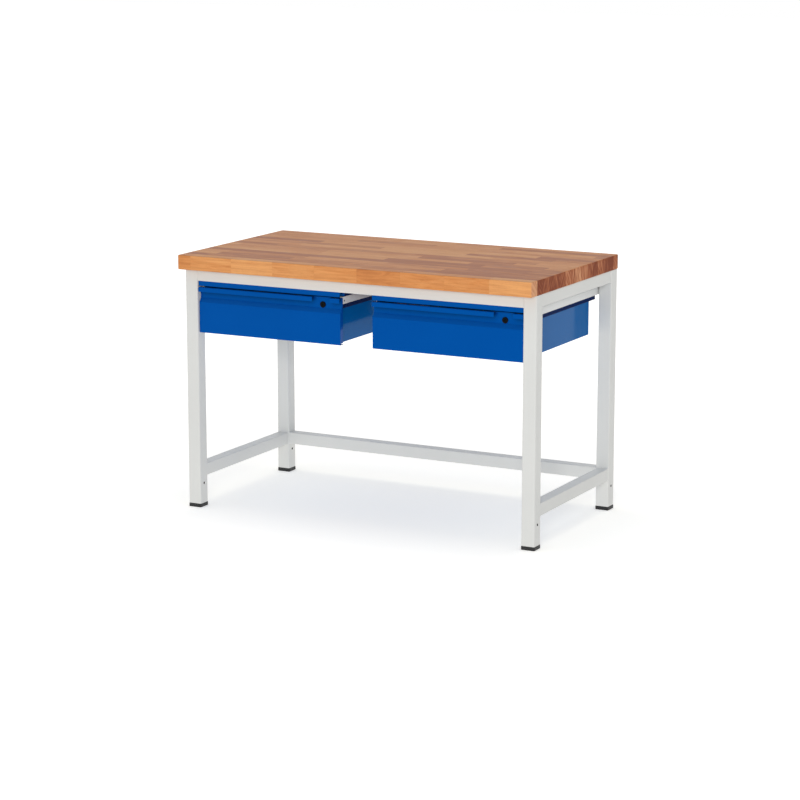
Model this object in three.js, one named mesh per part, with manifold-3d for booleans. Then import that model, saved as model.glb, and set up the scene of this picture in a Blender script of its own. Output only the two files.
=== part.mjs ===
// Workbench: a beech top on a welded square-tube frame, with two lockable steel drawers.
// Millimetres. +X is right, -Y is the front, +Z is up; the origin is on the floor under the
// middle of the top. Both drawers are shut and their locks are open.

import * as THREE from 'three';
import { mergeVertices } from 'three/addons/utils/BufferGeometryUtils.js';
import Module from 'manifold-3d';

const wasm = await Module();
wasm.setup();

// Worktop
const TOP_LENGTH = 1250;
const TOP_DEPTH = 670;
const TOP_THICKNESS = 47;
const TOP_CORNER = 5;
const TOP_EDGE = 3;
const BENCH_HEIGHT = 840;
const SIDE_OVERHANG = 1.5;
const FRONT_OVERHANG = 43;
const REAR_OVERHANG = 3;

// Frame of square tube: the rails and stretchers are a little slimmer than the legs
const LEG_SIZE = 45;
const LEG_CORNER = 4;
const RAIL_INSET = 2.5;
const RAIL_CORNER = 2.5;
const TUBE_WALL = 2;
const STRETCHER_RISE = 100;
const LEG_HOLE = 8;
const LEG_HOLE_DROP = 21;

// Black foot caps with a plug that goes up into the leg
const FOOT_HEIGHT = 12;
const FOOT_RIM = 0.8;
const FOOT_PLUG = 20;

// Clearances: welded or seated faces, round holes, and pieces that turn or slide
const SEAM = 0.3;
const HOLE_CLEARANCE = 0.4;
const TURN_CLEARANCE = 0.3;

// Drawer bay: two drawers side by side, set back from the front of the legs
const DRAWER_SIDE_GAP = 1.5;
const DRAWER_SPACING = 115;
const STRIP_SETBACK = 6;
const STRIP_HEIGHT = 15.5;
const STRIP_DEPTH = 31.5;

// Drawer front of folded sheet: panel, slanted grip recess, grip wall and turned-down lip
const SHEET = 1.2;
const PANEL_SETBACK = 9;
const PANEL_HEIGHT = 100;
const SLANT_HEIGHT = 14;
const GRIP_WALL_HEIGHT = 35.5;
const GRIP_DEPTH = 9.5;
const LIP_SETBACK = 3;
const LIP_HEIGHT = 15.5;
const LIP_GAP = 4.4;
const LIP_STUB = 2;
const SIDE_RETURN = 18;
const SIDE_RETURN_LIFT = 5;
const BOTTOM_LAP = 2;

// Drawer tray
const TRAY_SETBACK = 18.7;
const TRAY_REAR_GAP = 34.2;
const TRAY_HEADROOM = 11;
const EAR_INSET = 1;
const NUT_HEADROOM = 7;

// Roller runners: a fixed channel on each side and a slide on the tray
const RUNNER_SETBACK = 3;
const RUNNER_SHEET = 1.5;
const RUNNER_FRONT_GAP = 2.7;
const RUNNER_TAIL = 12;
const HANGER_BELOW_STRIP = 2.5;
const HANGER_OVERRUN = 15;
const SLIDE_SHEET = 1.5;
const SLIDE_HEIGHT = 33.5;
const SLIDE_TAIL = 45;
const SLIDE_HEADROOM = 2;
const FLANGE_GAP = 0.9;
const ROLLER_D = 15;
const ROLLER_WIDTH = 7.5;
const ROLLER_PLAY = 1.2;
const ROLLER_INSET = 12.5;
const PIN_D = 8;
const PIN_BORE = 5;
const HELD_DEPTH = 120;
const STOP_HEIGHT = 6;
const STOP_GAP = 0.6;

// Cam lock in the grip wall, near the right end of each drawer
const LOCK_FROM_EDGE = 66.5;
const LOCK_DROP = 24.6;
const LOCK_CUT_WIDTH = 64;
const LOCK_BODY_D = 16;
const LOCK_RIM = 2;
const LOCK_RIM_HEIGHT = 3;
const NUT_RIM = 2.5;
const NUT_HEIGHT = 5;
const PLUG_D = 10;
const KEYWAY_WIDTH = 1.6;
const KEYWAY_HEIGHT = 6;
const KEYWAY_DEPTH = 5;
const CAM_WIDTH = 12;
const CAM_SHEET = 2;
const CAM_GAP = 1.1;
const CAM_HOOK = 9;

// Fasteners
const BOLT_D = 5;
const BOLT_HEAD_D = 9;
const BOLT_HEAD_HEIGHT = 3.5;
const BOLT_PROUD = 6;
const STRIP_BOLT_INSET = 60;
const SCREW_D = 6;
const SCREW_HEAD_D = 12;
const SCREW_HEAD_HEIGHT = 4;
const SCREW_BITE = 28;
const SCREW_TIP_GAP = 0.6;

// How finely round shapes are divided
const ROUND_SIDES = 24;
const SMALL_SIDES = 16;
const HEX_SIDES = 6;
const CORNER_STEPS = 2;
const EDGE_STEPS = 3;

// Frame: places worked out from the sizes above
const railSize = LEG_SIZE - 2 * RAIL_INSET;
const legX = TOP_LENGTH / 2 - SIDE_OVERHANG - LEG_SIZE / 2;
const bayHalf = legX - LEG_SIZE / 2;
const legFrontFace = FRONT_OVERHANG - TOP_DEPTH / 2;
const legFrontY = legFrontFace + LEG_SIZE / 2;
const legRearY = TOP_DEPTH / 2 - REAR_OVERHANG - LEG_SIZE / 2;
const topUnderside = BENCH_HEIGHT - TOP_THICKNESS;
const legTop = topUnderside - SEAM;
const legBottom = FOOT_HEIGHT + SEAM;
const railBottom = legTop - railSize;
const screwTip = topUnderside + SCREW_BITE;

// Drawer bay: the fixed strip, then the drawer front hung below it
const frontWidth = bayHalf - DRAWER_SIDE_GAP - DRAWER_SPACING / 2;
const drawerX = (DRAWER_SPACING + frontWidth) / 2;
const stripTop = railBottom - SEAM;
const stripBottom = stripTop - STRIP_HEIGHT;
const stripFront = legFrontFace + STRIP_SETBACK;
const stripRear = stripFront + STRIP_DEPTH;
const panelY = legFrontFace + PANEL_SETBACK;
const wallY = panelY + GRIP_DEPTH;
const lipY = legFrontFace + LIP_SETBACK;
const frontTop = stripBottom - LIP_GAP;
const lipBottom = frontTop - LIP_HEIGHT;
const wallBottom = frontTop - GRIP_WALL_HEIGHT;
const panelTop = wallBottom - SLANT_HEIGHT;
const frontBottom = panelTop - PANEL_HEIGHT;
const returnRear = panelY + SIDE_RETURN;

// Runner channel, stacked down from the hanger
const hangerBottom = stripBottom - HANGER_BELOW_STRIP;
const runnerTop = hangerBottom - SEAM;
const runnerFloor = runnerTop - RUNNER_SHEET - SLIDE_HEADROOM - SLIDE_SHEET - SEAM - ROLLER_D - ROLLER_PLAY;
const runnerBottom = runnerFloor - RUNNER_SHEET;
const slideTop = runnerTop - RUNNER_SHEET - SLIDE_HEADROOM;
const frontRollerZ = slideTop - SLIDE_SHEET - SEAM - ROLLER_D / 2;
const rearRollerZ = runnerFloor + SEAM + ROLLER_D / 2;

// Tray and runners, from the drawer's middle outwards and from front to rear
const trayHalf = frontWidth / 2 - TRAY_SETBACK;
const slideInner = trayHalf + SEAM;
const slideOuter = slideInner + SLIDE_SHEET;
const runnerInner = slideOuter + FLANGE_GAP;
const runnerOuter = frontWidth / 2 - RUNNER_SETBACK;
const runnerWeb = runnerOuter - RUNNER_SHEET;
const rollerX = (slideOuter + runnerWeb) / 2;
const pinReach = ROLLER_WIDTH / 2 + TURN_CLEARANCE;
const trayFront = returnRear + SEAM;
const trayRear = legRearY - railSize / 2 - TRAY_REAR_GAP;
const trayBottom = frontBottom + SHEET + SEAM;
const trayTop = stripBottom - TRAY_HEADROOM;
const slideFront = trayFront + RUNNER_FRONT_GAP;
const slideRear = trayRear + SLIDE_TAIL;
const runnerRear = slideRear + RUNNER_TAIL;
const frontRollerY = slideFront + ROLLER_INSET;
const rearRollerY = slideRear - ROLLER_INSET;
const travel = trayRear - trayFront - HELD_DEPTH;
const outStopRear = rearRollerY - travel - ROLLER_D / 2 - STOP_GAP;
const hangerFront = stripRear + SEAM;
const hangerRear = legRearY + HANGER_OVERRUN;

// Lock, on the axis through the grip wall
const lockX = frontWidth / 2 - LOCK_FROM_EDGE;
const lockZ = frontTop - LOCK_DROP;
const lockFace = wallY - SEAM - LOCK_RIM_HEIGHT;
const camFront = stripRear + CAM_GAP;
const camReach = stripBottom + CAM_HOOK - lockZ;
const nutRadius = (LOCK_BODY_D / 2 + NUT_RIM) / Math.cos(Math.PI / HEX_SIDES);
const trayFrontTop = lockZ - nutRadius - NUT_HEADROOM;

// Looks: colour, roughness and metalness of each finish
const LOOKS = {
  beech: { color: 0xcf9668, roughness: 0.45, metalness: 0 },
  frameGrey: { color: 0xd7d8d4, roughness: 0.5, metalness: 0 },
  drawerBlue: { color: 0x0052a5, roughness: 0.4, metalness: 0 },
  slideBlue: { color: 0x003f86, roughness: 0.45, metalness: 0 },
  zinc: { color: 0xd9dbdc, roughness: 0.35, metalness: 0.8 },
  steel: { color: 0xb4b7ba, roughness: 0.35, metalness: 0.9 },
  nylon: { color: 0xe9e7e0, roughness: 0.5, metalness: 0 },
  blackPlastic: { color: 0x17181a, roughness: 0.6, metalness: 0 },
  lockBlack: { color: 0x101113, roughness: 0.35, metalness: 0.3 },
};

// A closed geometry becomes a solid that can be joined and cut
function toSolid(geometry) {
  geometry.deleteAttribute('normal');
  geometry.deleteAttribute('uv');
  const merged = mergeVertices(geometry);
  return new wasm.Manifold(new wasm.Mesh({
    numProp: 3,
    vertProperties: new Float32Array(merged.attributes.position.array),
    triVerts: new Uint32Array(merged.index.array),
  }));
}

function addPart(group, name, body, look, x = 0, y = 0, z = 0) {
  const facets = body.getMesh();
  const indexed = new THREE.BufferGeometry();
  indexed.setAttribute('position', new THREE.BufferAttribute(facets.vertProperties, 3));
  indexed.setIndex(new THREE.BufferAttribute(facets.triVerts, 1));
  const geometry = indexed.toNonIndexed();
  geometry.computeVertexNormals();
  const mesh = new THREE.Mesh(geometry, new THREE.MeshStandardMaterial(LOOKS[look]));
  mesh.name = name;
  mesh.position.set(x, y, z);
  group.add(mesh);
}

// A block between two limits on each axis, given in either order
function block([x0, x1], [y0, y1], [z0, z1]) {
  const geometry = new THREE.BoxGeometry(Math.abs(x1 - x0), Math.abs(y1 - y0), Math.abs(z1 - z0));
  geometry.translate((x0 + x1) / 2, (y0 + y1) / 2, (z0 + z1) / 2);
  return toSolid(geometry);
}

// Round bars along each axis, between two limits on that axis
function barX(diameter, [x0, x1], y, z, sides = SMALL_SIDES) {
  const geometry = new THREE.CylinderGeometry(diameter / 2, diameter / 2, Math.abs(x1 - x0), sides);
  geometry.rotateZ(Math.PI / 2);
  geometry.translate((x0 + x1) / 2, y, z);
  return toSolid(geometry);
}

function barY(diameter, x, [y0, y1], z, sides = ROUND_SIDES) {
  const geometry = new THREE.CylinderGeometry(diameter / 2, diameter / 2, Math.abs(y1 - y0), sides);
  geometry.translate(x, (y0 + y1) / 2, z);
  return toSolid(geometry);
}

function barZ(diameter, x, y, [z0, z1], sides = SMALL_SIDES) {
  const geometry = new THREE.CylinderGeometry(diameter / 2, diameter / 2, Math.abs(z1 - z0), sides);
  geometry.rotateX(Math.PI / 2);
  geometry.translate(x, y, (z0 + z1) / 2);
  return toSolid(geometry);
}

function drilled(diameter) {
  return diameter + 2 * HOLE_CLEARANCE;
}

// A rectangle centred on the origin with round corners
function roundedRectangle(width, height, corner) {
  const x = width / 2 - corner;
  const y = height / 2 - corner;
  const shape = new THREE.Shape();
  shape.absarc(x, y, corner, 0, Math.PI / 2);
  shape.absarc(-x, y, corner, Math.PI / 2, Math.PI);
  shape.absarc(-x, -y, corner, Math.PI, 1.5 * Math.PI);
  shape.absarc(x, -y, corner, 1.5 * Math.PI, 2 * Math.PI);
  shape.closePath();
  return shape;
}

// Square tube standing on the origin
function squareTube(size, corner, length) {
  const bore = size - 2 * TUBE_WALL;
  const shape = roundedRectangle(size, size, corner);
  shape.holes.push(roundedRectangle(bore, bore, Math.max(corner - TUBE_WALL, TUBE_WALL / 4)));
  const options = { depth: length, bevelEnabled: false, curveSegments: CORNER_STEPS };
  return new THREE.ExtrudeGeometry(shape, options);
}

// Solid square bar with round corners, standing on the origin
function squareBar(size, corner, height) {
  const options = { depth: height, bevelEnabled: false, curveSegments: CORNER_STEPS };
  return toSolid(new THREE.ExtrudeGeometry(roundedRectangle(size, size, corner), options));
}

// A flat outline of [y, z] points, drawn out along X
function prismX(outline, [x0, x1]) {
  const shape = new THREE.Shape(outline.map(([y, z]) => new THREE.Vector2(y, z)));
  const geometry = new THREE.ExtrudeGeometry(shape, { depth: x1 - x0, bevelEnabled: false });
  const alongX = new THREE.Matrix4().makeBasis(
    new THREE.Vector3(0, 1, 0),
    new THREE.Vector3(0, 0, 1),
    new THREE.Vector3(1, 0, 0),
  );
  geometry.applyMatrix4(alongX);
  geometry.translate(x0, 0, 0);
  return toSolid(geometry);
}

// Outline of a bent sheet: one face's path, and the same path moved to its right by the thickness
function foldedOutline(path, thickness) {
  const points = path.map(([y, z]) => new THREE.Vector2(y, z));
  const rights = points.slice(1).map((point, i) => {
    const along = point.clone().sub(points[i]).normalize();
    return new THREE.Vector2(along.y, -along.x);
  });
  const moved = points.map((point, i) => {
    const before = rights[Math.max(i - 1, 0)];
    const after = rights[Math.min(i, rights.length - 1)];
    const mitre = before.clone().add(after).multiplyScalar(thickness / (1 + before.dot(after)));
    return point.clone().add(mitre);
  });
  return [...points, ...moved.reverse()].map((point) => [point.x, point.y]);
}

// Beech top, rounded all round, with a blind hole for each screw from below
function worktop() {
  const edge = Math.min(TOP_EDGE, 0.8 * TOP_CORNER);
  const geometry = new THREE.ExtrudeGeometry(roundedRectangle(TOP_LENGTH, TOP_DEPTH, TOP_CORNER), {
    depth: TOP_THICKNESS - 2 * edge,
    bevelThickness: edge,
    bevelSize: edge,
    bevelOffset: -edge,
    bevelSegments: EDGE_STEPS,
    curveSegments: CORNER_STEPS,
  });
  geometry.translate(0, 0, topUnderside + edge);
  let top = toSolid(geometry);
  for (const [x, y] of Object.values(screwPlaces)) {
    top = top.subtract(barZ(drilled(SCREW_D), x, y, [topUnderside - edge, screwTip + SCREW_TIP_GAP]));
  }
  return top;
}

// One screw in the middle of each upper rail
const screwPlaces = {
  front: [0, legFrontY],
  rear: [0, legRearY],
  left: [-legX, (legFrontY + legRearY) / 2],
  right: [legX, (legFrontY + legRearY) / 2],
};

function leg() {
  const hole = STRETCHER_RISE - LEG_HOLE_DROP - legBottom;
  const through = barX(LEG_HOLE, [-LEG_SIZE, LEG_SIZE], 0, hole);
  return toSolid(squareTube(LEG_SIZE, LEG_CORNER, legTop - legBottom)).subtract(through);
}

function foot() {
  const capSize = LEG_SIZE + 2 * FOOT_RIM;
  const plugSize = LEG_SIZE - 2 * TUBE_WALL - 2 * SEAM;
  const cap = squareBar(capSize, LEG_CORNER, FOOT_HEIGHT);
  return cap.add(squareBar(plugSize, LEG_CORNER, FOOT_HEIGHT + FOOT_PLUG));
}

// Rails and stretchers lie between two legs; the tube's middle is at (x, y) and its underside at z
function railAlongX(y, z) {
  const length = 2 * (bayHalf - SEAM);
  const geometry = squareTube(railSize, RAIL_CORNER, length);
  geometry.rotateY(Math.PI / 2);
  geometry.translate(-length / 2, y, z + railSize / 2);
  return toSolid(geometry);
}

function railAlongY(x, z) {
  const front = legFrontY + LEG_SIZE / 2 + SEAM;
  const rear = legRearY - LEG_SIZE / 2 - SEAM;
  const geometry = squareTube(railSize, RAIL_CORNER, rear - front);
  geometry.rotateX(-Math.PI / 2);
  geometry.translate(x, front, z + railSize / 2);
  return toSolid(geometry);
}

// Holes drilled up into a rail from its underside
function drillUp(rail, diameter, places, top) {
  const z = [railBottom - SEAM, top];
  return places.reduce((body, [x, y]) => body.subtract(barZ(drilled(diameter), x, y, z)), rail);
}

// Places of the bolts that hold each drawer's strip and hangers up to the rails
const stripBoltX = frontWidth / 2 - STRIP_BOLT_INSET;
const stripBoltY = (stripFront + stripRear) / 2;
const hangerBoltX = (runnerInner + runnerWeb) / 2;
const boltTip = railBottom + TUBE_WALL + BOLT_PROUD;

function boltPlaces(boltX, boltY) {
  return [-drawerX, drawerX].flatMap((x) => [[x - boltX, boltY], [x + boltX, boltY]]);
}

function upperRail(side) {
  const screw = [screwPlaces[side]];
  const [x, y] = screwPlaces[side];
  if (side === 'left' || side === 'right') {
    return drillUp(railAlongY(x, railBottom), SCREW_D, screw, topUnderside);
  }
  const rail = drillUp(railAlongX(y, railBottom), SCREW_D, screw, topUnderside);
  const bolts = side === 'front' ? boltPlaces(stripBoltX, stripBoltY) : boltPlaces(hangerBoltX, legRearY);
  return drillUp(rail, BOLT_D, bolts, boltTip);
}

// Round-headed screw, head under the rail and tip in the worktop
function worktopScrew() {
  const head = barZ(SCREW_HEAD_D, 0, 0, [railBottom - SEAM - SCREW_HEAD_HEIGHT, railBottom - SEAM]);
  return head.add(barZ(SCREW_D, 0, 0, [railBottom - SEAM - SCREW_HEAD_HEIGHT / 2, screwTip]));
}

// Hexagon bolt, head under a sheet that hangs from the rail
function carrierBolt(sheet) {
  const seat = stripTop - sheet - SEAM;
  const head = barZ(BOLT_HEAD_D, 0, 0, [seat - BOLT_HEAD_HEIGHT, seat], HEX_SIDES);
  return head.add(barZ(BOLT_D, 0, 0, [seat - BOLT_HEAD_HEIGHT / 2, boltTip]));
}

// Fixed front strip above a drawer: an inverted channel under the front rail
function frontStrip() {
  const path = [
    [stripFront, stripBottom],
    [stripFront, stripTop],
    [stripRear, stripTop],
    [stripRear, stripBottom],
  ];
  let strip = prismX(foldedOutline(path, SHEET), [-frontWidth / 2, frontWidth / 2]);
  for (const x of [-stripBoltX, stripBoltX]) {
    strip = strip.subtract(barZ(drilled(BOLT_D), x, stripBoltY, [stripTop - 2 * SHEET, railBottom]));
  }
  return strip;
}

// Hanger: a channel from the front strip to the rear rail that carries a runner
function hanger(side) {
  const x = [side * runnerInner, side * runnerOuter];
  const y = [hangerFront, hangerRear];
  return block([side * runnerWeb, side * runnerOuter], y, [hangerBottom, stripTop])
    .add(block(x, y, [stripTop - RUNNER_SHEET, stripTop]))
    .add(block(x, y, [hangerBottom, hangerBottom + RUNNER_SHEET]))
    .subtract(barZ(drilled(BOLT_D), side * hangerBoltX, legRearY, [stripTop - 2 * RUNNER_SHEET, railBottom]));
}

// Hollow rivet that a roller turns on, standing on a web at x = from
function rivet(side, from, towards, y, z) {
  const end = side * (rollerX + towards * pinReach);
  return barX(PIN_D, [side * from, end], y, z, ROUND_SIDES);
}

// Runner: a channel open towards the drawer, with a roller rivet and two stops
function runner(side) {
  const x = [side * runnerInner, side * runnerOuter];
  const y = [slideFront, runnerRear];
  const stopX = [side * (runnerInner + FLANGE_GAP), side * (runnerWeb + RUNNER_SHEET / 2)];
  const stopZ = [runnerFloor - RUNNER_SHEET / 2, runnerFloor + STOP_HEIGHT];
  const rearStop = slideRear + STOP_GAP;
  return block([side * runnerWeb, side * runnerOuter], y, [runnerBottom, runnerTop])
    .add(block(x, y, [runnerTop - RUNNER_SHEET, runnerTop]))
    .add(block(x, y, [runnerBottom, runnerFloor]))
    .add(block(stopX, [outStopRear - RUNNER_SHEET, outStopRear], stopZ))
    .add(block(stopX, [rearStop, rearStop + RUNNER_SHEET], stopZ))
    .add(rivet(side, runnerWeb + RUNNER_SHEET / 2, -1, frontRollerY, frontRollerZ))
    .subtract(barX(PIN_BORE, [side * slideInner, side * (runnerOuter + SEAM)], frontRollerY, frontRollerZ));
}

// Slide: an angle on the tray's side whose top flange runs on the front roller
function slide(side) {
  const y = [slideFront, slideRear];
  const flangeEnd = runnerWeb - FLANGE_GAP;
  return block([side * slideInner, side * slideOuter], y, [slideTop - SLIDE_HEIGHT, slideTop])
    .add(block([side * slideInner, side * flangeEnd], y, [slideTop - SLIDE_SHEET, slideTop]))
    .add(rivet(side, slideOuter - SLIDE_SHEET / 2, 1, rearRollerY, rearRollerZ))
    .subtract(barX(PIN_BORE, [side * trayHalf, side * runnerOuter], rearRollerY, rearRollerZ));
}

// Roller about its own middle
function roller() {
  const half = ROLLER_WIDTH / 2;
  const bore = PIN_D + 2 * TURN_CLEARANCE;
  return barX(ROLLER_D, [-half, half], 0, 0, ROUND_SIDES)
    .subtract(barX(bore, [-ROLLER_WIDTH, ROLLER_WIDTH], 0, 0, ROUND_SIDES));
}

// Drawer front: one folded sheet with two side returns, cut away round the lock
function drawerFront() {
  const half = frontWidth / 2;
  const sheetPath = [
    [trayFront + BOTTOM_LAP, frontBottom],
    [panelY, frontBottom],
    [panelY, panelTop],
    [wallY, wallBottom],
    [wallY, frontTop - SHEET],
    [lipY + SHEET, frontTop - SHEET],
    [lipY + SHEET, lipBottom],
  ];
  const returnOutline = [
    [panelY, frontBottom + SIDE_RETURN_LIFT],
    [panelY, panelTop],
    [wallY, wallBottom],
    [wallY, frontTop],
    [returnRear, frontTop],
    [returnRear, frontBottom + SIDE_RETURN_LIFT],
  ];
  const cutX = [lockX - LOCK_CUT_WIDTH / 2, lockX + LOCK_CUT_WIDTH / 2];
  const cut = block(cutX, [lipY - SHEET, wallY - LIP_STUB], [lipBottom - SHEET, frontTop + SHEET]);
  const lockHole = barY(drilled(LOCK_BODY_D), lockX, [wallY - SHEET, wallY + 2 * SHEET], lockZ);
  return prismX(foldedOutline(sheetPath, SHEET), [-half, half])
    .add(prismX(returnOutline, [-half, SHEET - half]))
    .add(prismX(returnOutline, [half - SHEET, half]))
    .subtract(cut)
    .subtract(lockHole);
}

// Tray: an open box whose low front plate spreads sideways to the returns of the drawer front
function drawerTray() {
  const outerX = [-trayHalf, trayHalf];
  const innerX = [SHEET - trayHalf, trayHalf - SHEET];
  const earX = frontWidth / 2 - EAR_INSET;
  const earZ = [trayBottom + SIDE_RETURN_LIFT, trayFrontTop];
  const inside = block(innerX, [trayFront + SHEET, trayRear - SHEET], [trayBottom + SHEET, stripBottom]);
  const overFront = block(innerX, [trayFront - SHEET, trayFront + 2 * SHEET], [trayFrontTop, stripBottom]);
  return block(outerX, [trayFront, trayRear], [trayBottom, trayTop])
    .subtract(inside)
    .subtract(overFront)
    .add(block([-earX, SHEET - trayHalf], [trayFront, trayFront + SHEET], earZ))
    .add(block([trayHalf - SHEET, earX], [trayFront, trayFront + SHEET], earZ));
}

// Lock pieces, about the lock's axis
function lockBarrel() {
  const bore = PLUG_D + 2 * TURN_CLEARANCE;
  const rear = camFront - SEAM;
  return barY(LOCK_BODY_D + 2 * LOCK_RIM, 0, [lockFace, lockFace + LOCK_RIM_HEIGHT], 0)
    .add(barY(LOCK_BODY_D, 0, [lockFace + LOCK_RIM_HEIGHT / 2, rear], 0))
    .subtract(barY(bore, 0, [lockFace - SEAM, rear + SEAM], 0));
}

function lockNut() {
  const front = wallY + SHEET + SEAM;
  const hole = barY(drilled(LOCK_BODY_D), 0, [front - SEAM, front + 2 * NUT_HEIGHT], 0);
  return barY(2 * nutRadius, 0, [front, front + NUT_HEIGHT], 0, HEX_SIDES).subtract(hole);
}

function lockPlug() {
  const keyX = [-KEYWAY_WIDTH / 2, KEYWAY_WIDTH / 2];
  const keyZ = [-KEYWAY_HEIGHT / 2, KEYWAY_HEIGHT / 2];
  const camZ = [-CAM_WIDTH / 2, CAM_WIDTH / 2];
  return barY(PLUG_D, 0, [lockFace, camFront + CAM_SHEET / 2], 0)
    .add(block([-camReach, CAM_WIDTH / 2], [camFront, camFront + CAM_SHEET], camZ))
    .subtract(block(keyX, [lockFace - SEAM, lockFace + KEYWAY_DEPTH], keyZ));
}

// The frame with its top, feet and screws
function buildFrame() {
  const group = new THREE.Group();
  addPart(group, 'worktop', worktop(), 'beech');
  const corners = { front_left: [-legX, legFrontY], front_right: [legX, legFrontY] };
  corners.rear_left = [-legX, legRearY];
  corners.rear_right = [legX, legRearY];
  for (const [corner, [x, y]] of Object.entries(corners)) {
    addPart(group, `${corner}_leg`, leg(), 'frameGrey', x, y, legBottom);
    addPart(group, `${corner}_foot`, foot(), 'blackPlastic', x, y);
  }
  for (const [side, [x, y]] of Object.entries(screwPlaces)) {
    addPart(group, `${side}_rail`, upperRail(side), 'frameGrey');
    addPart(group, `${side}_worktop_screw`, worktopScrew(), 'steel', x, y);
  }
  addPart(group, 'left_stretcher', railAlongY(-legX, STRETCHER_RISE), 'frameGrey');
  addPart(group, 'right_stretcher', railAlongY(legX, STRETCHER_RISE), 'frameGrey');
  addPart(group, 'rear_stretcher', railAlongX(legRearY, STRETCHER_RISE), 'frameGrey');
  return group;
}

// Left and right hand of a drawer
const HANDS = [['l', -1], ['r', 1]];

// What is fixed under the rails for one drawer
function buildCarrier(drawer) {
  const group = new THREE.Group();
  addPart(group, `${drawer}_front_strip`, frontStrip(), 'drawerBlue');
  for (const [hand, side] of HANDS) {
    const stripBolt = carrierBolt(SHEET);
    const hangerBolt = carrierBolt(RUNNER_SHEET);
    const rollerPlace = [side * rollerX, frontRollerY, frontRollerZ];
    addPart(group, `${drawer}_hanger_${hand}`, hanger(side), 'slideBlue');
    addPart(group, `${drawer}_runner_${hand}`, runner(side), 'zinc');
    addPart(group, `${drawer}_front_roller_${hand}`, roller(), 'nylon', ...rollerPlace);
    addPart(group, `${drawer}_strip_bolt_${hand}`, stripBolt, 'steel', side * stripBoltX, stripBoltY);
    addPart(group, `${drawer}_hanger_bolt_${hand}`, hangerBolt, 'steel', side * hangerBoltX, legRearY);
  }
  return group;
}

// One drawer with its slides, rear rollers and lock
function buildDrawer(drawer) {
  const group = new THREE.Group();
  addPart(group, `${drawer}_drawer_front`, drawerFront(), 'drawerBlue');
  addPart(group, `${drawer}_drawer_tray`, drawerTray(), 'drawerBlue');
  for (const [hand, side] of HANDS) {
    const rollerPlace = [side * rollerX, rearRollerY, rearRollerZ];
    addPart(group, `${drawer}_slide_${hand}`, slide(side), 'slideBlue');
    addPart(group, `${drawer}_rear_roller_${hand}`, roller(), 'nylon', ...rollerPlace);
  }
  addPart(group, `${drawer}_lock_barrel`, lockBarrel(), 'lockBlack', lockX, 0, lockZ);
  addPart(group, `${drawer}_lock_nut`, lockNut(), 'steel', lockX, 0, lockZ);
  addPart(group, `${drawer}_lock_plug`, lockPlug(), 'lockBlack', lockX, 0, lockZ);
  return group;
}

const bench = new THREE.Group();
bench.add(buildFrame());
for (const [drawer, x] of [['left', -drawerX], ['right', drawerX]]) {
  const bay = new THREE.Group();
  bay.position.x = x;
  bay.add(buildCarrier(drawer), buildDrawer(drawer));
  bench.add(bay);
}

export default bench;
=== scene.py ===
"""Looks of a workbench: a beech top on a welded grey frame, with two blue lockable drawers."""

from math import cos, pi, radians, sin

import bmesh
import bpy
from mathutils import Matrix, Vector


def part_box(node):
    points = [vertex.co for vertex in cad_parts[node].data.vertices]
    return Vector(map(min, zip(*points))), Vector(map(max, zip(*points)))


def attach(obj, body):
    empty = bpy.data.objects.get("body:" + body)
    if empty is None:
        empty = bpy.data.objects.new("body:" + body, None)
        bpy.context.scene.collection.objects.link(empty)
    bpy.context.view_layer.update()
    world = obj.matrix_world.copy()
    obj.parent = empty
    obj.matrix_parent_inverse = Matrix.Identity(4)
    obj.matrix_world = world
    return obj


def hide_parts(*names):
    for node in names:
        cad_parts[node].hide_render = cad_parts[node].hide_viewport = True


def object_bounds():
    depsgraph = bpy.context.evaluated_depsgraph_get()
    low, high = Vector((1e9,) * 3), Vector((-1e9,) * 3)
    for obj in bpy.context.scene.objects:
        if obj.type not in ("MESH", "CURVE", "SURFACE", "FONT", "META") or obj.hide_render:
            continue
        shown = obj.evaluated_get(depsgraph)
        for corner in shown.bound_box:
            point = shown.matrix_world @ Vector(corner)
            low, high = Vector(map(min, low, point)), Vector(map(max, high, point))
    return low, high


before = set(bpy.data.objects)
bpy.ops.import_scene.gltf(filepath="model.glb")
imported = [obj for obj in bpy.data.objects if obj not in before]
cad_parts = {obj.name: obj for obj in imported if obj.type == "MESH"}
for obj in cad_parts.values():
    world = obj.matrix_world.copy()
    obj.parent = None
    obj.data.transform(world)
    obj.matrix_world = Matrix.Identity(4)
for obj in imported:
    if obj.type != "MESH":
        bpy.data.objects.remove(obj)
cad_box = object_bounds()

MM = 0.001
DRAWERS = ("left", "right")
HANDS = (("l", -1), ("r", 1))
SIDES = ("front", "rear", "left", "right")
CORNERS = ("front_left", "front_right", "rear_left", "rear_right")
RAILS = {"front_rail": "x", "rear_rail": "x", "left_rail": "y", "right_rail": "y"}
STRETCHERS = {"left_stretcher": "y", "right_stretcher": "y", "rear_stretcher": "x"}

# Worktop
TOP_CORNER = 5 * MM
TOP_EDGE = 3 * MM
TOP_EDGE_STEPS = 5
# Share of painted shade on the worktop's upper face, which gets less light from above
TOP_PAINTED_SHADE = 0.16

# Staves: a row has so many to a stave length at least, more by chance and more in the front row;
# the last two values set the rows' joints and the staves' grain apart
STAVE_WIDTH = 41.9 * MM
STAVE_LENGTH = 390 * MM
STAVE_JOINT = 0.5 * MM
STAVES_LEAST = 0.65
STAVES_CHANCE = 0.9
FRONT_STAVES_MORE = 1.40
ROW_SHIFT = 23.7
STAVE_APART = (3.1, 5.7, 4.3)

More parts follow.
